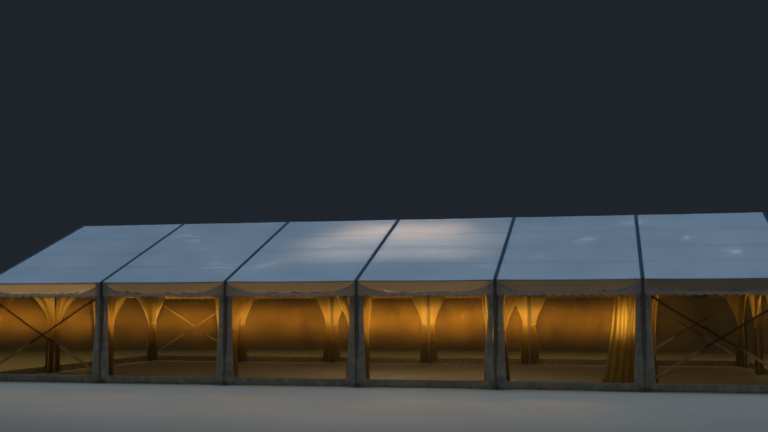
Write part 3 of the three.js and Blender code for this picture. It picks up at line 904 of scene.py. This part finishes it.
DRAPE_LOW, DRAPE_TOP = 0.03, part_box("front_curtain_2")[1].z
DRAPE_OUT = -middle("front_curtain_2").y
DRAPE_NEAR = 0.062
CORNER_GAP = 0.006
DRAPE_CLOTH, TIE_CLOTH = 0.0012, 0.002
DRAPE_ROWS, PLEAT_COLUMNS = 34, 8
PLEAT_DEEP = 0.038
PLEAT_WIDTHS, PLEAT_DEPTHS = (0.6, 1.5), (0.70, 1.0)
HEADING, HEADING_FLAT = 0.16, 0.55
TIE_REACH, TIE_FLAT = 0.12, 0.45
PLEAT_FLUTE = 0.22
FOLD_SHADE = 0.75
TIE_Z, TIE_HALF, TIE_BELLY, TIE_SLANT = 1.18, 0.028, 0.004, 0.020
TIE_LOOSE, TIE_DEEP = 0.010, 0.034

# For each style its free edge as (height, place), its flat width, its pleats and its tie's height
STYLES = {
    "tied": {
        "far": ((0.03, 0.28), (0.9, 0.22), (1.18, 0.19), (1.42, 0.25), (1.8, 0.42), (DRAPE_TOP, 0.56)),
        "width": 1.20,
        "pleats": 8,
        "tie": TIE_Z,
    },
    "narrow": {
        "far": ((0.03, 0.27), (0.9, 0.24), (1.15, 0.23), (1.5, 0.26), (DRAPE_TOP, 0.33)),
        "width": 1.00,
        "pleats": 6,
        "tie": None,
    },
    "loose": {
        "far": ((0.03, 0.88), (0.6, 0.75), (1.3, 0.63), (DRAPE_TOP, 0.55)),
        "width": 1.15,
        "pleats": 5,
        "tie": None,
    },
    "wide": {
        "far": (
            (0.03, 0.28), (0.9, 0.22), (1.18, 0.19), (1.42, 0.33),
            (1.8, 0.75), (2.0, 1.08), (DRAPE_TOP, 1.39),
        ),
        "width": 1.90,
        "pleats": 11,
        "tie": TIE_Z,
    },
}

# The front's drapes as in the photo: for each frame, the style on its left (-1) and right (1)
FRONT_DRAPES = {
    1: {1: "narrow"},
    2: {-1: "narrow", 1: "narrow"},
    3: {-1: "narrow", 1: "tied"},
    4: {-1: "tied", 1: "narrow"},
    5: {-1: "narrow", 1: "tied"},
    6: {-1: "loose", 1: "narrow"},
    7: {-1: "tied"},
}


def smooth_curve(points, heights):
    """A smooth line through a few (height, distance) points."""
    known = np.array(points)
    slopes = np.gradient(known[:, 1], known[:, 0])
    place = np.clip(np.searchsorted(known[:, 0], heights) - 1, 0, len(known) - 2)
    low, high = known[place], known[place + 1]
    run = high[:, 0] - low[:, 0]
    t = np.clip((heights - low[:, 0]) / run, 0, 1)
    a, b = 2 * t**3 - 3 * t**2 + 1, t**3 - 2 * t**2 + t
    c, d = -2 * t**3 + 3 * t**2, t**3 - t**2
    return a * low[:, 1] + b * run * slopes[place] + c * high[:, 1] + d * run * slopes[place + 1]


def pleat_depth(spec, width, count, z, seed, rng):
    """How deep each pleat stands: fuller where the cloth is drawn in, flat at heading and tie."""
    pleats = spec["pleats"]
    full = spec["width"] / (4 * pleats)
    deep = full * np.sqrt(1 - np.clip(width / spec["width"], 0, 0.98) ** 2)
    uneven = np.interp(count, np.arange(pleats + 1), rng.uniform(*PLEAT_DEPTHS, pleats + 1))
    deep = np.minimum(deep, PLEAT_DEEP) * uneven * (0.90 + 0.10 * np.sin(1.7 * z + seed))
    deep = deep * (1 - HEADING_FLAT * ease(z, DRAPE_TOP - HEADING, DRAPE_TOP))
    if spec["tie"]:
        deep = deep * (1 - TIE_FLAT * np.exp(-(((z - spec["tie"]) / TIE_REACH) ** 2)))
    return deep


def drape_form(style, hand, seed, out, near):
    """One drape beside a leg or post at x = 0, on its right for hand 1 or its left for hand -1."""
    spec = STYLES[style]
    rng = np.random.default_rng(seed)
    pleats = spec["pleats"]
    heights = np.linspace(DRAPE_LOW, DRAPE_TOP, DRAPE_ROWS + 1)
    t, z = np.meshgrid(np.linspace(0, 1, pleats * PLEAT_COLUMNS + 1), heights)
    width = smooth_curve(spec["far"], heights)[:, None] - near
    edges = np.concatenate([[0.0], np.cumsum(rng.uniform(*PLEAT_WIDTHS, pleats))])
    count = np.interp(t, edges / edges[-1], np.arange(pleats + 1))
    phase = math.tau * count + 0.5 * np.sin(1.6 * z + seed) + 0.7 * np.sin(2.1 * z + 6 * t + 2 * seed)
    deep = pleat_depth(spec, width, count, z, seed, rng)
    y = deep * (np.sin(phase) + PLEAT_FLUTE * np.sin(2 * phase + 1.0))
    bend = 0.25 * width / pleats * np.sin(2 * phase)
    x = near + t * width + bend * ease(t, 0.0, 0.05) * ease(t, 1.0, 0.95)
    z = z + 0.010 * np.sin(0.5 * phase + seed) * ease(z, 0.5, 0.0)
    # Painted shade: the deeper a point lies in a pleat as seen from outside, the darker its cloth is
    # painted.
    folds = FOLD_SHADE * ease(y / (deep + 0.002), -0.35, 0.85)
    form = Form()
    form.grid(np.stack([hand * x, -out + y, z], -1)[:, ::hand])
    form.folds = folds[:, ::hand].reshape(-1).tolist()
    return form


def tie_form(style, hand, out, near):
    """The band around a tied drape."""
    spec = STYLES[style]
    far = float(smooth_curve(spec["far"], np.array([spec["tie"]]))[0])
    centre, reach = (far + near) / 2, (far - near) / 2 + TIE_LOOSE
    turns = np.linspace(0, math.tau, 33)
    levels = np.linspace(-TIE_HALF, TIE_HALF, 5)[:, None]
    belly = TIE_BELLY * np.cos(levels / TIE_HALF * math.pi / 2)
    x = centre + (reach + belly) * np.cos(turns)
    y = -out - (TIE_DEEP + belly) * np.sin(turns)
    z = spec["tie"] + levels + TIE_SLANT * np.cos(turns)
    form = Form()
    form.grid(np.stack([hand * x, y, z], -1)[:, ::hand])
    return form


def drape(name, node, place, style, hand, seed, out, near=DRAPE_NEAR):
    """Hangs one drape and its tie; hand is its side of the leg or post as seen from outside."""
    form = drape_form(style, hand, seed, out, near)
    piece = build(f"{name}_drape", form, [curtain_cloth], place, DRAPE_CLOTH)
    if STYLES[style]["tie"]:
        tie = build(f"{name}_tie", tie_form(style, hand, out, near), [tie_cloth], place, TIE_CLOTH)
        fit(tie, "curtain_cloth")
    fit(piece, "curtain_cloth", node)


def side_drape(side, number, hand, style):
    seed = 7 * number + (3 if hand > 0 else 0) + (40 if side == "back" else 0)
    node = f"{side}_curtain_{number}"
    name = f"{node}_{'right' if hand > 0 else 'left'}"
    place = facing(side, FRAME_X[number - 1])
    drape(name, node, place, style, hand, seed, DRAPE_OUT)


def side_curtains():
    """The front's drapes as in the photo, and tied ones at the same places along the back."""
    for number, styles in FRONT_DRAPES.items():
        for hand, style in styles.items():
            side_drape("front", number, hand, style)
    for number, styles in FRONT_DRAPES.items():
        for hand in sorted(-hand for hand in styles):
            side_drape("back", number, hand, "tied")


# Bracing: crossed straps in the walls and crossed cables under the roof of the end bays

ANCHOR = 0.070
ANCHOR_THICK = 0.008
BRACE_REACH = HALF_BAY - ANCHOR_THICK
BRACE_LOW, BRACE_HIGH = 0.200, 2.000
BRACE_OUT = 4.43
STRAP_WIDTH, STRAP_THICK, STRAP_APART = 0.042, 0.0024, 0.004
STRAP_TWIST = 0.20
PALE_SHARE, PALE_WIDER = 0.36, 1.5
DARK_BOW, PALE_BOW = 0.010, 0.004
SHACKLE_IN, SHACKLE_HALF, SHACKLE_WIRE = 0.012, 0.028, 0.006
EDGE = 0.001

# The ratchet, as (along the strap, out from it): its cheeks, its handle, its wheels and its pins
CHEEK = (
    (-0.075, -0.006), (-0.030, -0.026), (0.030, -0.026), (0.075, -0.008), (0.075, 0.008), (-0.075, 0.008)
)
CHEEKS_AT, CHEEK_THICK = (-0.030, 0.027), 0.003
HANDLE = ((0.0, -0.030), (0.115, -0.024), (0.115, -0.019), (0.0, -0.024))
HANDLE_HALF = 0.026
WHEELS_AT, WHEEL, WHEEL_THICK, WHEEL_OUT = (-0.024, 0.018), 0.022, 0.006, -0.008
PINS = ((0, WHEEL_OUT, 0.036, 0.010, 14), (0.070, 0.0, 0.032, 0.005, 10), (-0.070, 0.0, 0.032, 0.005, 10))


def band(form, start, end, y, width, slot, bow):
    """A flat webbing band in a plane of equal y, with a slight twist and sag."""
    steps = 24
    run = end - start
    along = run / np.linalg.norm(run)
    normal = np.array([-along[1], along[0]])
    rings = []
    for share in np.arange(steps + 1) / steps:
        centre = start + run * share - np.array([0, bow * math.sin(math.pi * share)])
        turn = STRAP_TWIST * math.sin(math.tau * share)
        ring = []
        for a, b in ((-1, -1), (1, -1), (1, 1), (-1, 1)):
            across, depth = a * width / 2, b * STRAP_THICK / 2
            point = centre + normal * (across * math.cos(turn) - depth * math.sin(turn))
            ring.append((point[0], y + across * math.sin(turn) + depth * math.cos(turn), point[1]))
        rings.append(np.array(ring))
    form.skin(rings, slot)


def ratchet(form, centre, angle, y):
    """A ratchet buckle: two cheeks, a spindle, a ratchet wheel and a folded handle."""
    along = np.array([math.cos(angle), math.sin(angle)])
    normal = np.array([-along[1], along[0]])

    def at(a, b, out):
        point = centre + along * a + normal * b
        return np.array([point[0], y + out, point[1]])

    def plate(outline, start, thick):
        form.prism([at(a, start, out) for a, out in outline], at(0, start + thick, 0) - at(0, start, 0))

    for start in CHEEKS_AT:
        plate(CHEEK, start, CHEEK_THICK)
    for a, out, reach, radius, sides in PINS:
        form.rod(at(a, -reach, out), at(a, reach, out), radius, sides)
    for start in WHEELS_AT:
        low, high = at(0, start, WHEEL_OUT), at(0, start + WHEEL_THICK, WHEEL_OUT)
        form.turned(low, high - low, [(0, WHEEL), (WHEEL_THICK, WHEEL)], 14)
    plate(HANDLE, -HANDLE_HALF, 2 * HANDLE_HALF)


def anchor(form, side, height):
    """A plate on the leg, with the shackle that holds a strap's end."""
    outer, inner = side * (HALF_BAY - ANCHOR_THICK / 2), side * (BRACE_REACH - SHACKLE_IN)
    form.block((outer, -BRACE_OUT, height), (ANCHOR_THICK, ANCHOR, ANCHOR), 0, EDGE)
    near, far = -BRACE_OUT - SHACKLE_HALF, -BRACE_OUT + SHACKLE_HALF
    form.rod((inner, near, height), (inner, far, height), SHACKLE_WIRE)
    for y in (near, far):
        form.rod((outer, y, height), (inner, y, height), SHACKLE_WIRE)


def wall_brace(side, which, bay):
    """Two crossing straps, each dark from its head to a ratchet and wider and pale below that."""
    form = Form()
    angle = math.atan2(BRACE_HIGH - BRACE_LOW, 2 * BRACE_REACH)
    for hand in (-1, 1):
        y = -BRACE_OUT + hand * STRAP_APART / 2
        low = np.array([-hand * BRACE_REACH, BRACE_LOW])
        high = np.array([hand * BRACE_REACH, BRACE_HIGH])
        split = low + (high - low) * PALE_SHARE
        band(form, high, split, y, STRAP_WIDTH, 1, DARK_BOW)
        band(form, split, low, y, STRAP_WIDTH * PALE_WIDER, 2, PALE_BOW)
        ratchet(form, split, angle if hand > 0 else math.pi - angle, y)
        anchor(form, -hand, BRACE_LOW)
        anchor(form, hand, BRACE_HIGH)
    place = facing(side, BAY_X[bay])
    node = f"{side}_{which}_brace"
    dress(f"{node}_straps", form, [steel, dark_webbing, pale_webbing], "steel", node, place)


ROOF_BRACE_DROP = 0.113
ROOF_BRACE_RIDGE_OUT = 0.070
ROOF_BRACE_EAVE_OUT = LEG_OUT - 0.250
RIDGE_PLATE_WIDE, RIDGE_PLATE_HIGH = 0.200, 0.057
CABLE_RADIUS, CABLE_APART = 0.006, 0.008
CABLE_FROM, CABLE_SHORT = 0.10, 0.42

# The ends of a cable, as (distance along it, radius)
FORK = ((0, 0.010), (0.05, 0.010), (0.07, 0.008), (0.14, 0.007))
TURNBUCKLE = (
    (0, 0.007), (0.06, 0.008), (0.08, 0.015), (0.28, 0.015), (0.30, 0.008), (0.38, 0.008), (0.44, 0.010)
)


def cable_run(form, high, low):
    """A wire cable with a turnbuckle near its foot and a forked end at its head."""
    high, low = Vector(high), Vector(low)
    run = low - high
    forward = run.normalized()
    form.rod(high + forward * CABLE_FROM, low - forward * CABLE_SHORT, CABLE_RADIUS, 10, 1)
    form.turned(high, run, FORK, 12, 0, True)
    form.turned(low - forward * TURNBUCKLE[-1][0], run, TURNBUCKLE, 12, 0, True)


def roof_brace(which, bay):
    node = f"{which}_roof_brace"
    form = Form()
    eave_z = roof_at(ROOF_BRACE_EAVE_OUT, ROOF_BRACE_DROP)
    ridge_z = roof_at(ROOF_BRACE_RIDGE_OUT, ROOF_BRACE_DROP)
    plate_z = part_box(node)[1].z - RIDGE_PLATE_HIGH / 2
    for end in (-1, 1):
        x = end * (HALF_BAY - ANCHOR_THICK / 2)
        form.block((x, 0, plate_z), (ANCHOR_THICK, RIDGE_PLATE_WIDE, RIDGE_PLATE_HIGH), 0, EDGE)
        for slope in (-1, 1):
            lift = end * CABLE_APART / 2
            top = (-end * BRACE_REACH, slope * ROOF_BRACE_RIDGE_OUT, ridge_z + lift)
            foot = (end * BRACE_REACH, slope * ROOF_BRACE_EAVE_OUT, eave_z + lift)
            cable_run(form, top, foot)
            plate = (x, slope * ROOF_BRACE_EAVE_OUT, eave_z)
            form.block(plate, (ANCHOR_THICK, ANCHOR, ANCHOR), 0, EDGE)
    place = Matrix.Translation((BAY_X[bay], 0, 0))
    dress(f"{node}_cables", form, [steel, wire], "steel", node, place)


# Gables: two posts with a rail, a wall with three windows, a triangle of cloth and wide curtains

POST_OUT = 1.50
POST = 0.080
POST_BOLTS, POST_BOLT_SIDE = (0.070, -0.078), 0.075
POST_BOLT, POST_HEAD_BOLT = 0.010, 0.009
GABLE_RAIL, GABLE_RAIL_Z = 0.060, 2.180
GABLE_PLAY = 0.0003
GABLE_SHEET_OUT = PROFILE_WIDTH / 2 + 0.0043
GABLE_HALF = LEG_OUT - 0.060
GABLE_PANEL = 2 * LEG_OUT / 3
TRIANGLE_COLUMNS, TRIANGLE_ROWS = 120, 24
TRIANGLE_WAVE, TRIANGLE_RIPPLE = 0.007, 0.0010
TRIANGLE_SEAM, TRIANGLE_SEAM_HALF = 0.75, 0.03


def gable_place(end):
    return Matrix.Translation((end * HALF_LENGTH, 0, 0)) @ Matrix.Rotation(end * math.pi / 2, 4, "Z")


def gable_post(form, x):
    """A box post on its base plate, cut to the slope under the rafter."""
    section = [(x + a, b) for a, b in bar_section(POST, POST)]
    foot = np.array([(a, b, PLATE_TOP) for a, b in section])
    head = np.array([(a, b, roof_at(a, PROFILE_DEPTH) - GABLE_PLAY) for a, b in section])
    form.skin([foot, head])
    form.block((x, 0, PLATE_TOP / 2), (PLATE, PLATE, PLATE_TOP), 1, PLATE_CORNER)
    for side in (-1, 1):
        for y in POST_BOLTS:
            form.bolt((x + side * POST_BOLT_SIDE, y, PLATE_TOP), UP, POST_BOLT, 1)
        form.bolt((x + side * POST / 2, 0, EAVE_Z), (side, 0, 0), POST_HEAD_BOLT, 1)


def gable_posts(which, end):
    """Two posts under the end rafters, and the rail between them and the legs."""
    form = Form()
    for x in (-POST_OUT, POST_OUT):
        gable_post(form, x)
    reach = LEG_OUT - PROFILE_DEPTH - GABLE_PLAY
    outer, inner = POST_OUT + POST / 2, POST_OUT - POST / 2
    for start, finish in ((-reach, -outer), (-inner, inner), (outer, reach)):
        rail = [(start, a, GABLE_RAIL_Z + b) for a, b in bar_section(GABLE_RAIL, GABLE_RAIL)]
        form.prism(rail, (finish - start, 0, 0))
    node = f"{which}_gable_posts"
    dress(f"{node}_profile", form, [aluminium, steel], "aluminium", node, gable_place(end))


def gable_wall(which, end):
    half = GABLE_PANEL / 2 - PROFILE_WIDTH / 2 - BORDER
    windows = [(centre - half, centre + half) for centre in (-GABLE_PANEL, 0, GABLE_PANEL)]
    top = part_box(f"{which}_gable_wall")[1].z
    form = window_sheet(GABLE_HALF, GABLE_WINDOW_TOP, top, windows, GABLE_SHEET_OUT, 300 + end)
    piece = build(f"{which}_gable_wall_cloth", form, WALL_MATERIALS, gable_place(end), CLOTH)
    fit(piece, "window_vinyl", f"{which}_gable_wall")


def gable_triangle(which, end):
    """The cloth over the gable wall, up to the middle of the rafters' depth, with its seams."""
    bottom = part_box(f"{which}_gable_triangle")[0].z
    columns = np.linspace(-GABLE_HALF, GABLE_HALF, TRIANGLE_COLUMNS + 1)
    top = roof_at(columns, PROFILE_DEPTH / 2)
    x, share = np.meshgrid(columns, np.linspace(0, 1, TRIANGLE_ROWS + 1))
    z = bottom + (top - bottom) * share
    wave, fine = ripples(400 + end, 0.8, 2.5), ripples(410 + end, 0.15, 0.5)
    free = ease(share, 0.0, 0.2) * ease(share, 1.0, 0.8)
    bulge = (TRIANGLE_WAVE * outward(wave(x, z)) + TRIANGLE_RIPPLE * fine(x, z)) * free
    seam = np.abs(np.abs(x) - TRIANGLE_SEAM) < TRIANGLE_SEAM_HALF
    form = Form()
    form.grid(np.stack([x, -(GABLE_SHEET_OUT + bulge), z], -1), (seam[1:, 1:] & seam[1:, :-1]).astype(int))
    piece = build(f"{which}_gable_triangle_cloth", form, [roof_vinyl, roof_weld], gable_place(end), CLOTH)
    fit(piece, "roof_vinyl", f"{which}_gable_triangle")


def gable_curtains(which, end):
    """Wide tied drapes on both sides of each post, and one from each corner."""
    node = f"{which}_gable_curtains"
    inward = HALF_LENGTH - abs(middle(node).x)
    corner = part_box(node)[1].y
    spots = [(-corner, 1, CORNER_GAP)]
    spots += [(x, hand, DRAPE_NEAR) for x in (-POST_OUT, POST_OUT) for hand in (-1, 1)]
    spots += [(corner, -1, CORNER_GAP)]
    for index, (along, hand, near) in enumerate(spots):
        place = gable_place(end) @ Matrix.Translation((along, 0, 0))
        name = f"{node}_{index + 1}"
        seed = 500 + 11 * index + end
        drape(name, node, place, "wide", hand, seed, -inward, near)


# The stage

CAMERA_PLACE = (5.40, -25.92, 1.75)
CAMERA_TURN, CAMERA_PITCH, CAMERA_ROLL = 12.59, 5.01, -0.10
SENSOR, FOCAL = 36.0, 47.83
CLIP_END = 500.0
FLOOR_SIZE = 400.0
FLOOR_DROP = 0.001
SKY_POWER, SKY_TINT = 9000, (0.56, 0.79, 1.0)
FILL_POWER, END_POWER, ROOM_TINT = 24, 75, (1.0, 0.95, 0.88)
WARM = (1.0, 0.71, 0.24)
GABLE_POWER = 30
WALL_POWER = (21.5, 16.5, 19.5, 30.0, 19.0)
DRAPE_POWER = (1.3, 1.3, 1.5, 1.8, 0.9, 1.5)
RIDGE_POWER, RIDGE_TINT = 45, (1.0, 0.70, 0.48)
CROWN_POWER, CROWN_TINT = 72, (1.0, 0.84, 0.70)

# The strips behind the valances: from which frame to which, with the power for each metre
EAVE_STRIPS = ((0, 1, 1.4), (1, 4, 0.6), (4, 5, 0.22))
EAVE_TINT = (1.0, 0.80, 0.52)

# The strings of lamps under the front slope, from one distance off the ridge to the other
STRING = (0.5, 4.1)
LAMPS = 5
LAMP_GAP, LAMP_RADIUS = 0.027, 0.010
LAMP_POWER, LAMP_TINT = 2.1, (1.0, 0.88, 0.70)


def turned_by(degrees, axis):
    return Matrix.Rotation(math.radians(degrees), 4, axis)


def make_camera():
    data = bpy.data.cameras.new("camera")
    data.sensor_width = SENSOR
    data.lens = FOCAL
    data.clip_end = CLIP_END
    camera = bpy.data.objects.new("camera", data)
    level = turned_by(CAMERA_TURN, "Z") @ turned_by(90 + CAMERA_PITCH, "X")
    camera.matrix_world = Matrix.Translation(CAMERA_PLACE) @ level @ turned_by(CAMERA_ROLL, "Z")
    bpy.context.scene.collection.objects.link(camera)
    bpy.context.scene.camera = camera


def make_floor():
    half = FLOOR_SIZE / 2
    corners = [(x * half, y * half, -FLOOR_DROP) for x, y in ((-1, -1), (1, -1), (1, 1), (-1, 1))]
    form = Form()
    form.add(corners, [(0, 1, 2, 3)])
    build("studio_floor", form, [floor_paint()])


def make_world():
    world = bpy.data.worlds.new("evening")
    world.use_nodes = True
    world.node_tree.nodes["Background"].inputs["Color"].default_value = (*BACKDROP, 1.0)
    bpy.context.scene.world = world
    bpy.context.scene.view_settings.view_transform = "Standard"


def add_light(name, kind, place, power, tint):
    data = bpy.data.lights.new(name, kind)
    data.energy = power
    data.color = tint
    light = bpy.data.objects.new(name, data)
    light.location = place
    light.visible_camera = False
    bpy.context.scene.collection.objects.link(light)
    return light


def area_light(name, place, aim, area, power, tint, spread):
    light = add_light(name, "AREA", place, power, tint)
    light.data.shape = "RECTANGLE"
    light.data.size, light.data.size_y = area
    light.data.spread = math.radians(spread)
    light.rotation_euler = (Vector(aim) - Vector(place)).to_track_quat("-Z", "Y").to_euler()
    light.visible_glossy = False


def room_lights():
    """A dim room: soft cool light from above, and weak fills from the front, the back and the ends."""
    area_light("sky", (0, 0, 30.0), (0, 0, 0), (90, 70), SKY_POWER, SKY_TINT, spread=56)
    for side in (-1, 1):
        place, aim = (0, side * 16.0, 12.0), (0, side * 4.0, 1.5)
        area_light(f"fill_{side}", place, aim, (30, 6), FILL_POWER, ROOM_TINT, spread=120)
        place, aim = (side * 24.0, 0, 9.0), (side * 9.0, 0, 1.5)
        area_light(f"end_{side}", place, aim, (14, 6), END_POWER, ROOM_TINT, spread=120)


def strip_lights(side):
    """Warm strips end to end: across the windows of bays 1 to 5, and behind their valances."""
    for x, power in zip(BAY_X, WALL_POWER):
        place, aim = (x, side * 3.5, 1.5), (x, side * 4.4, 1.42)
        area_light(f"wall_glow_{x:.1f}_{side}", place, aim, (BAY, 0.4), power, WARM, spread=48)
    for first, last, power in EAVE_STRIPS:
        x, length = (FRAME_X[first] + FRAME_X[last]) / 2, (last - first) * BAY - 0.3
        place, aim, area = (x, side * 4.486, 2.12), (x, side * 4.6, 2.12), (length, 0.28)
        area_light(f"eave_glow_{last}_{side}", place, aim, area, power * length, EAVE_TINT, spread=160)


def drape_lights(bay, side, x):
    """Two lamps that cross in a bay, each on the drapes beside the far leg."""
    for hand in (-1, 1):
        place, aim = (x - hand * 0.35, side * 2.7, 1.60), (x + hand * 1.22, side * 4.42, 1.50)
        name = f"drape_glow_{bay + 1}_{side}_{hand}"
        area_light(name, place, aim, (0.35, 0.45), DRAPE_POWER[bay], WARM, spread=38)


def hall_lights():
    """Warm lamps inside the hall, on its walls, its drapes, its gables and the roof's middle."""
    for side in (-1, 1):
        strip_lights(side)
        for bay, x in enumerate(BAY_X):
            drape_lights(bay, side, x)
        place, aim = (side * 7.7, 0, 1.80), (side * 9.0, 0, 1.70)
        area_light(f"gable_glow_{side}", place, aim, (7.0, 0.35), GABLE_POWER, WARM, spread=42)
    x = FRAME_X[3] + 0.3
    place, aim = (x, -0.7, 2.9), (x, -0.9, 4)
    area_light("ridge_lamp", place, aim, (3.0, 1.2), RIDGE_POWER, RIDGE_TINT, spread=120)
    place, aim = (x, -1.9, 2.1), (x, -2.1, 4)
    area_light("crown_lamp", place, aim, (4.4, 2.0), CROWN_POWER, CROWN_TINT, spread=120)


def string_lights():
    """Small lamps strung in zigzags close under the front slope, seen only as glints through it."""
    for leg in range(1, BAYS):
        start, end = STRING if leg % 2 else STRING[::-1]
        for step in range(LAMPS):
            share = (step + 0.5 + 0.35 * math.sin(2.3 * step + leg)) / LAMPS
            out = start + (end - start) * share
            below = CLOTH_DROP + sheet_sag(out, 2 * share - 1) + LAMP_GAP
            place = (FRAME_X[leg] + BAY * share, -out, roof_at(out, below))
            lamp = add_light(f"lamp_{leg}_{step}", "POINT", place, LAMP_POWER, LAMP_TINT)
            lamp.data.shadow_soft_size = LAMP_RADIUS


# Building the marquee

make_camera()
make_floor()
make_world()
room_lights()
hall_lights()
string_lights()
for number in range(1, BAYS + 2):
    portal_frame(number)
rails_and_purlins()
for number in range(1, BAYS + 1):
    roof_sheet(number)
    bay_wall("front", number)
    bay_wall("back", number)
side_curtains()
for side in ("front", "back"):
    wall_brace(side, "left", 0)
    wall_brace(side, "right", BAYS - 1)
roof_brace("left", 0)
roof_brace("right", BAYS - 1)
for which, end in (("left", -1), ("right", 1)):
    gable_posts(which, end)
    gable_wall(which, end)
    gable_triangle(which, end)
    gable_curtains(which, end)
